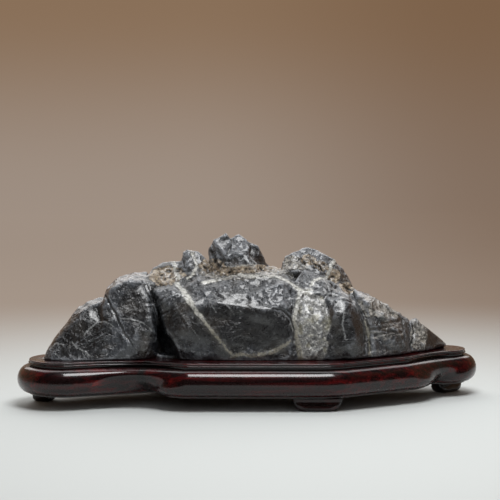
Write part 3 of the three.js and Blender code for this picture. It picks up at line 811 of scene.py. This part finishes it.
standShape = {
    "middle": (3.5, 1.0),
    "lobes": (((-141, -22, 36), (-88, 4, 43)),
              ((-44, -29, 32), (-46, 22, 32), (54, -10, 52), (84, 22, 42), (112, 9.5, 38.5)),
              ((157.5, 32, 26.5), (124, 37, 26))),
    "pointsPerRun": (130, 170, 120, 170),   # left end, front, right end, back
    "plateBottom": 10, "plateTop": 11.2, "rollMiddle": 20.8, "rollTop": 31.6, "lipBottom": 33,
    "standTop": 36.4, "plateInset": 9, "rollBottomDepth": 8.2, "rollTopDepth": 8.4,
    "quirkInset": 10.6, "beadInset": 8.6, "lipInset": 9.2, "edgeRound": 0.7, "rollSteps": 26,
    "seatFloor": 31, "seatEdge": 0.5,
    "seat": ((-156, -27), (-142, -36), (-116, -36), (-100, -32), (-84, -25), (-70, -17), (-56, -25),
             (-40, -32), (-6, -35), (34, -34), (66, -31), (90, -21), (112, -8), (132, 10), (157, 38),
             (156, 47), (124, 45), (70, 43), (10, 37), (-40, 31), (-84, 16), (-124, -4), (-146, -16)),
    "seatGap": 0.3, "seatPoints": 420,
    "webRounds": 900,         # rounds of softening that carry the lip across the hollows between lobes
    "leastRounds": 10, "softReach": (10, 26), "lobePoints": 900, "shortestRun": 5, "sharpAngle": 38,
}


def evenLine(points, count, closed=False):
    points = np.array(points, float)
    if closed:
        points = np.vstack([points, points[:1]])
    travel = np.concatenate([[0], np.cumsum(np.linalg.norm(np.diff(points, axis=0), axis=1))])
    wanted = np.linspace(0, travel[-1], count, endpoint=not closed)
    return np.stack([np.interp(wanted, travel, points[:, k]) for k in (0, 1)], 1)


def tautLine(circles, inset, count):
    # the line drawn tight round a lobe's circles, counter-clockwise from above
    angle = np.linspace(0, 2 * math.pi, 480, endpoint=False)
    way = np.stack([np.cos(angle), np.sin(angle)], 1)
    circles = np.array(circles, float)
    reach = way @ circles[:, :2].T + circles[:, 2] - inset
    best = reach.argmax(1)
    points = circles[best, :2] + (circles[best, 2] - inset)[:, None] * way
    return evenLine(points, count, True), way, reach.max(1)


def softened(ring, cusps, rounds, reach):
    # the carver's knife rounds the corners where two lobes meet
    place = np.arange(len(ring))
    away = np.min([np.minimum(abs(place - c), len(ring) - abs(place - c)) for c in cusps], axis=0)
    share = (1 - smoothStep(*reach, away))[:, None]
    for _ in range(rounds):
        ring = ring + share * ((np.roll(ring, 1, 0) + np.roll(ring, -1, 0)) * 0.25 - ring * 0.5)
    return ring, away


def standRing(look, inset, soften):
    lobes = [tautLine(circles, inset, look["lobePoints"]) for circles in look["lobes"]]
    runs = []
    for k, (points, _, _) in enumerate(lobes):
        others = [lobes[j] for j in range(len(lobes)) if j != k]
        outside = np.min([(points @ way.T - reach).max(1) for _, way, reach in others], axis=0)
        shown = outside > 0
        starts = np.nonzero(shown & ~np.roll(shown, 1))[0]
        for start in starts:
            run = [start]
            while shown[(run[-1] + 1) % len(points)]:
                run.append((run[-1] + 1) % len(points))
            before, after = (start - 1) % len(points), (run[-1] + 1) % len(points)
            ends = []
            for inner, outer in ((before, start), (after, run[-1])):
                share = outside[inner] / (outside[inner] - outside[outer])
                ends.append(points[inner] + share * (points[outer] - points[inner]))
            runs.append((k, np.vstack([ends[0][None], points[run], ends[1][None]])))
    runs = [r for r in runs if np.linalg.norm(np.diff(r[1], axis=0), axis=1).sum() > look["shortestRun"]]
    left = next(r for k, r in runs if k == 0)
    right = next(r for k, r in runs if k == 2)
    front, back = sorted((r for k, r in runs if k == 1), key=lambda r: r[:, 1].mean())
    ring, cusps = [], []
    for run, count in zip((left, front, right, back), look["pointsPerRun"]):
        cusps.append(sum(len(r) for r in ring))
        ring.append(evenLine(run, count)[:-1])
    ring, away = softened(np.vstack(ring), cusps, soften, look["softReach"])
    return ring - look["middle"], away


def standProfile(look):
    # (height, inset, how hollow the place is, which is darkened with grime and painted shade) from the
    # plate's underside up to the lip
    plate, middle, rollTop = look["plateInset"], look["rollMiddle"], look["rollTop"]
    top, lip, edge = look["standTop"], look["lipInset"], look["edgeRound"]
    line = [(look["plateBottom"], plate + 1.0, 0.2), (look["plateBottom"], plate, 0.1),
            (look["plateTop"] - 0.3, plate, 0.6)]
    for k in range(look["rollSteps"] + 1):
        angle = (k / look["rollSteps"] - 0.5) * math.pi
        half = middle - look["plateTop"] if angle < 0 else rollTop - middle
        depth = look["rollBottomDepth"] if angle < 0 else look["rollTopDepth"]
        hollow = 0.7 * max(0, abs(angle) / (math.pi / 2) - 0.75) * 4
        line.append((middle + half * math.sin(angle), depth * (1 - math.cos(angle)), hollow))
    line += [(rollTop + 0.2, look["rollTopDepth"] + 0.6, 0.9),
             (rollTop + 0.3, look["quirkInset"], 1.0), (look["lipBottom"], look["quirkInset"], 1.0)]
    for k in range(7):
        angle = (k / 6 - 0.5) * math.pi
        line.append((look["lipBottom"] + 0.1 + 0.75 * (1 + math.sin(angle)),
                     look["beadInset"] + 0.9 * (1 - math.cos(angle)), 0.3 if 0 < k < 6 else 0.8))
    line.append((top - edge, lip, 0.0))
    for k in range(1, 6):
        angle = k / 5 * math.pi / 2
        line.append((top - edge * (1 - math.sin(angle)), lip + edge * (1 - math.cos(angle)), 0.0))
    line.append((top, lip + edge + 0.5, 0.0))
    return line


def seatLine(look):
    # a smooth closed line through the seat's points
    points = np.array(look["seat"], float)
    made = []
    for k in range(len(points)):
        p = [points[(k + j) % len(points)] for j in (-1, 0, 1, 2)]
        knots = np.concatenate([[0], np.cumsum([np.linalg.norm(p[j + 1] - p[j]) ** 0.5 for j in range(3)])])
        for t in np.linspace(knots[1], knots[2], 12, endpoint=False):
            a = [p[j] + (p[j + 1] - p[j]) * (t - knots[j]) / (knots[j + 1] - knots[j]) for j in range(3)]
            b = [a[j] + (a[j + 1] - a[j]) * (t - knots[j]) / (knots[j + 2] - knots[j]) for j in range(2)]
            made.append(b[0] + (b[1] - b[0]) * (t - knots[1]) / (knots[2] - knots[1]))
    return evenLine(made, look["seatPoints"], True) - look["middle"]


def grown(ring, distance):
    step = np.roll(ring, -1, 0) - np.roll(ring, 1, 0)
    way = np.stack([step[:, 1], -step[:, 0]], 1) / np.linalg.norm(step, axis=1)[:, None]
    return ring + way * distance


def atHeight(ring, height):
    return np.column_stack([ring, np.full(len(ring), height)])


def makeStand(look):
    profile = standProfile(look)
    rings, hollows = [], []
    for height, inset, hollow in profile:
        rounding = smoothStep(look["plateBottom"] + 2, look["lipBottom"], height) ** 2
        ring, away = standRing(look, inset, int(look["leastRounds"] + look["webRounds"] * rounding))
        rings.append(atHeight(ring, height))
        # the corners where two lobes meet are darkened too: painted shade
        hollows.append(np.maximum(hollow, 0.7 * (1 - smoothStep(0, 4, away))))
    count = len(rings[0])
    points, hollows = np.vstack(rings), np.concatenate(hollows)
    faces = ringFaces(len(profile), count)
    # the pocket that the stone stands in
    seat = seatLine(look)
    top, floor = look["standTop"], look["seatFloor"]
    pocket = [(look["seatGap"] + look["seatEdge"], top, 0.2),
              (look["seatGap"] + look["seatEdge"] * 0.3, top - look["seatEdge"] * 0.3, 0.5),
              (look["seatGap"], top - look["seatEdge"], 0.9), (look["seatGap"], floor, 1.0)]
    start = len(points)
    points = np.vstack([points] + [atHeight(grown(seat, out), z) for out, z, _ in pocket])
    hollows = np.concatenate([hollows] + [np.full(len(seat), h) for _, _, h in pocket])
    n = len(seat)
    faces += ringFaces(len(pocket), n, start)
    # flat faces: the top between lip and pocket, the pocket's floor, the underside
    lastRing = (len(profile) - 1) * count
    outer, inner = list(range(lastRing, lastRing + count)), list(range(start, start + n))[::-1]
    flats = [(outer, inner), (list(range(start + 3 * n, start + 4 * n)),), (list(range(count))[::-1],)]
    for loops in flats:
        order = [i for loop in loops for i in loop]
        shapes = [[Vector(points[i]) for i in loop] for loop in loops]
        wantUp = loops is not flats[2]
        for triangle in tessellate_polygon(shapes):
            a, b, c = (order[i] for i in triangle)
            up = np.cross(points[b] - points[a], points[c] - points[a])[2] > 0
            faces.append((a, b, c) if up == wantUp else (a, c, b))
    made = meshObject("carvedStand", points * mm, faces)
    made.data.set_sharp_from_angle(angle=math.radians(look["sharpAngle"]))
    # the hollows are stored as a negative edge, which the material darkens with grime and painted shade
    storeValues(made.data, "fineEdge", -hollows)
    return made


# Four low feet, each a cushion shape that spreads where it meets the plate

feet = {
    "foot_front": {"wide": 39, "at": (54, -48), "turn": 0},
    "foot_right": {"wide": 30, "at": (161, 40), "turn": 44},
    "foot_left": {"wide": 20, "at": (-158.5, -3), "turn": -118},
    "foot_back": {"wide": 39, "at": (-62, 41), "turn": 180},
}
footShape = {"depth": 15, "around": 64, "levels": 22, "grimeAndShade": 0.45, "corner": 0.5, "sharpAngle": 50,
             "steps": ((0, 0.62, 0.7), (0.7, 0.7, 0.86), (2.4, 0.82, 1), (4.8, 0.92, 0.94),
                       (7.4, 0.98, 0.8), (9.7, 1, 0.9))}


def makeFoot(name, look, shape):
    steps = np.array(shape["steps"])
    heights = np.linspace(0, steps[-1, 0], shape["levels"])
    angle = np.linspace(0, 2 * math.pi, shape["around"], endpoint=False)
    turn = math.radians(look["turn"])
    points = []
    for z in heights:
        wide, deep = np.interp(z, steps[:, 0], steps[:, 1]), np.interp(z, steps[:, 0], steps[:, 2])
        x = look["wide"] / 2 * wide * np.sign(np.cos(angle)) * np.abs(np.cos(angle)) ** shape["corner"]
        y = shape["depth"] / 2 * deep * np.sign(np.sin(angle)) * np.abs(np.sin(angle)) ** shape["corner"]
        points.append(np.column_stack([
            x * math.cos(turn) - y * math.sin(turn) + look["at"][0] - standShape["middle"][0],
            x * math.sin(turn) + y * math.cos(turn) + look["at"][1] - standShape["middle"][1],
            np.full(len(x), z)]))
    n = shape["around"]
    faces = ringFaces(len(heights), n)
    faces += [tuple(range(n))[::-1], tuple(range((len(heights) - 1) * n, len(heights) * n))]
    made = meshObject(name.replace("_", "") + "Carved", np.vstack(points) * mm, faces)
    made.data.set_sharp_from_angle(angle=math.radians(shape["sharpAngle"]))
    # the whole foot is darkened with painted shade, as it stands in shadow under the stand
    storeValues(made.data, "fineEdge", np.full(len(made.data.vertices), -shape["grimeAndShade"]))
    return made


woodLook = {
    "dark": (17, 5, 7), "red": (78, 11, 13), "glow": (120, 28, 22), "grimeAndShade": (7, 4, 4),
    "rubbed": (74, 32, 26),
}
woodFinish = {
    "stretch": (0.045, 1.0, 1.0),   # the plank's grain runs the length of the stand
    "figure": 3.6, "pores": 0.8, "cloud": 26.0, "fleck": 1.4, "wearSize": 4.0, "wearReach": 0.5,
    "wear": 0.3, "grimeAndShade": 0.85, "roughness": (0.26, 0.4), "grimeRough": 0.25, "bump": (0.35, 0.25),
    "lacquer": {"Specular IOR Level": 0.12, "Coat Weight": 0.85, "Coat Roughness": 0.12},
}


def woodMaterial(look, finish):
    colours = {name: screenColour(*value) for name, value in look.items()}
    material, tree, shader = newMaterial("lacqueredRosewood")
    place = addNode(tree, "TexCoord").outputs["Object"]
    grainPlace = mapped(place, finish["stretch"])
    figure = noiseValue(grainPlace, finish["figure"], 4, 0.55, 0.4)
    pores = noiseValue(grainPlace, finish["pores"], 3, 0.6)
    clouds = placeGroup(tree, mottle, {"Place": place, "Broad": finish["cloud"], "Fine": finish["fleck"]})
    cloud = clouds["Cloud"]
    red = times(ramp(figure, 0.36, 0.72), ramp(cloud, 0.2, 0.8, 0.4, 1.0))
    glow = times(ramp(figure, 0.6, 0.72), ramp(cloud, 0.4, 0.9, 0.0, 0.7))
    wear = placeGroup(tree, wearGrimeAndShade, {"Place": place, "Edge": attribute(tree, "fineEdge"),
                                           "Size": finish["wearSize"], "Reach": finish["wearReach"]})
    tone = colours["dark"]
    # over the figure and pores: rubbed edges, and grime with painted shade in the hollows, the quirk and on
    # the feet
    for mask, name in ((red, "red"), (glow, "glow"), (ramp(pores, 0.5, 0.68, 0.0, 0.4), "dark"),
                       (times(wear["Wear"], finish["wear"]), "rubbed"),
                       (times(wear["GrimeAndShade"], finish["grimeAndShade"]), "grimeAndShade")):
        tone = mixColour(mask, tone, colours[name])
    gloss = ramp(clouds["Fleck"], 0.0, 1.0, *finish["roughness"])
    gloss = plus(gloss, times(wear["GrimeAndShade"], finish["grimeRough"]))
    relief = plus(times(figure, 0.6), times(pores, 0.4))
    strength, distance = finish["bump"]
    bump = {"Strength": strength, "Distance": distance * mm, "Height": relief}
    bump = addNode(tree, "Bump", bump).outputs[0]
    setInputs(shader, {"Base Color": tone, "Roughness": gloss, "Normal": bump, **finish["lacquer"]})
    return material


wood = woodMaterial(woodLook, woodFinish)
stand = makeStand(standShape)
stand.data.materials.append(wood)
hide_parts("stand")
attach(stand, "root")
for name, look in feet.items():
    foot = makeFoot(name, look, footShape)
    foot.data.materials.append(wood)
    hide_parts(name)
    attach(foot, "root")
print("stand and feet:", len(stand.data.polygons), "faces")
